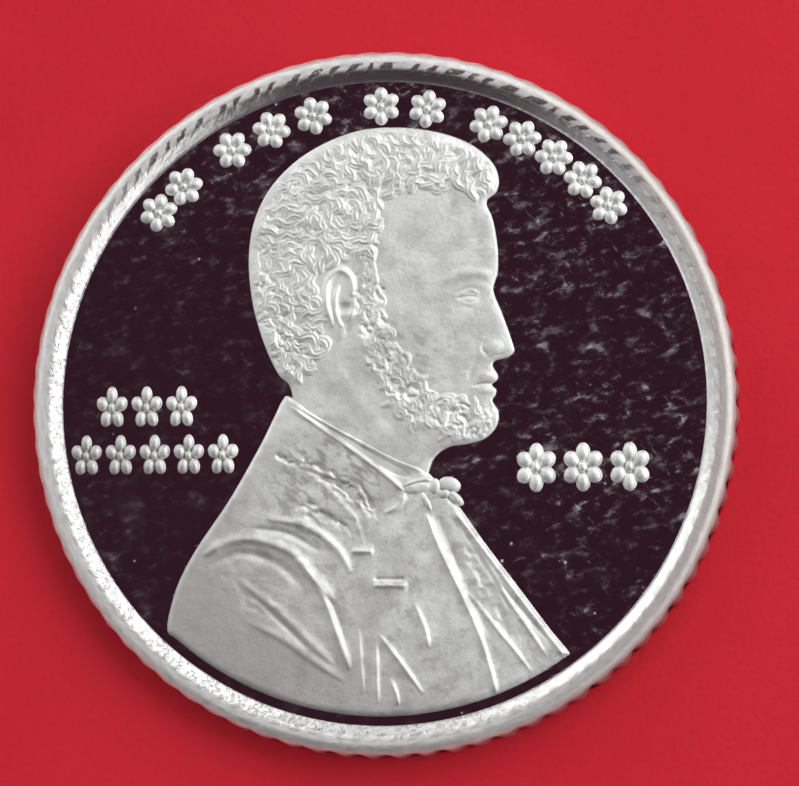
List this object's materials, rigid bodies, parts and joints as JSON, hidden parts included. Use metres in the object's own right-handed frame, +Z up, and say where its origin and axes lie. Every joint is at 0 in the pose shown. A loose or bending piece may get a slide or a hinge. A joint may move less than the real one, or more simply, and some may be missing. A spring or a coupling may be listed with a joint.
{
  "type": "coin capsule",
  "caption": "Clear round push-fit capsule with a soft red seat pad, showing a small reeded silver round through its window.",
  "frame": {"origin": "centre of the foot ring's resting face, on the capsule's axis", "axes": "+Z up along the capsule's axis, towards the window; +Y towards the top of the coin's picture; +X to its right"},
  "size_m": [0.0314, 0.0314, 0.0068],
  "materials": {
    "clear_shell": "polished",
    "red_foam": "matte",
    "silver": "polished"
  },
  "bodies": {
    "base": {"capsule_base": "clear_shell"},
    "pad": {"red_pad": "red_foam"},
    "coin": {"coin": "silver"},
    "lid": {"capsule_lid": "clear_shell"}
  },
  "joints": [
    {"name": "pad_lift", "type": "slide", "parent": "base", "child": "pad", "axis": [0, 0, 1], "range_m": [0, 0.008]},
    {"name": "coin_lift", "type": "slide", "parent": "pad", "child": "coin", "axis": [0, 0, 1], "range_m": [0, 0.008]},
    {"name": "lid_lift", "type": "slide", "parent": "coin", "child": "lid", "axis": [0, 0, 1], "range_m": [0, 0.014]}
  ]
}
